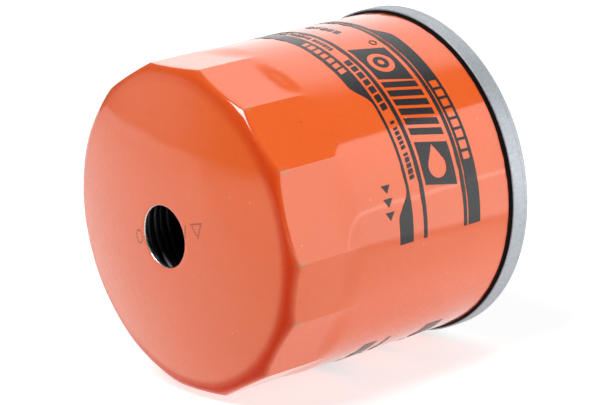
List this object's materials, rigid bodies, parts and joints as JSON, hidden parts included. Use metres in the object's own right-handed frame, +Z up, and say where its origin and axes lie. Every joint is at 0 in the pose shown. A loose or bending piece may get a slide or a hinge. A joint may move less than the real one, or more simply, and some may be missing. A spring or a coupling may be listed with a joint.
{
  "type": "spin-on oil filter",
  "caption": "Spin-on engine oil filter: can with fluted wrench end, rolled seam, gasket, threaded plate, pleated element, bypass and anti-drainback valves.",
  "frame": {"origin": "centre of the gasket's sealing face, on the filter's axis", "axes": "+Y along the filter's axis, out of the sealing side towards the engine; the domed end looks along -Y; +Z is up with the filter lying on its side, one wrench flat facing straight down"},
  "size_m": [0.068, 0.0667, 0.068],
  "materials": {
    "orange_enamel": "gloss enamel over drawn sheet steel, with black screen print",
    "zinc_coated_steel": "zinc-coated pressed steel, satin",
    "bare_steel": "oiled pressed steel",
    "spring_steel": "dark drawn spring wire",
    "black_rubber": "matt moulded nitrile rubber",
    "seam_sealant": "dull grey seam sealant",
    "filter_paper": "resin-treated pleated filter paper",
    "end_adhesive": "cured amber plastisol"
  },
  "bodies": {
    "housing": {"canister": "orange_enamel", "seam_lid": "zinc_coated_steel", "seam_compound": "seam_sealant", "tapping_plate": "bare_steel", "gasket": "black_rubber", "element_seal": "black_rubber", "load_spring": "spring_steel"},
    "drainback_valve": {"anti_drainback_valve": "black_rubber"},
    "element": {"lower_end_disc": "bare_steel", "lower_adhesive": "end_adhesive", "pleated_media": "filter_paper", "pleat_clip": "bare_steel", "center_tube": "bare_steel", "upper_adhesive": "end_adhesive", "upper_end_disc": "bare_steel", "bypass_cage": "bare_steel", "bypass_spring": "spring_steel", "spring_seat": "bare_steel"},
    "bypass": {"bypass_poppet": "bare_steel", "bypass_seal": "black_rubber"}
  },
  "joints": [
    {"name": "element_float", "type": "slide", "parent": "housing", "child": "element", "axis": [0, -1, 0], "range_m": [0, 0.002], "stiffness_N_per_m": 2000, "springref_m": -0.002, "deforming": ["load_spring"]},
    {"name": "bypass_open", "type": "slide", "parent": "element", "child": "bypass", "axis": [0, 1, 0], "range_m": [0, 0.003], "stiffness_N_per_m": 100, "springref_m": -0.002, "deforming": ["bypass_spring"]},
    {"name": "drainback_lift", "type": "slide", "parent": "housing", "child": "drainback_valve", "axis": [0, -1, 0], "range_m": [0, 0.0015], "stiffness_N_per_m": 150, "springref_m": -0.001}
  ]
}
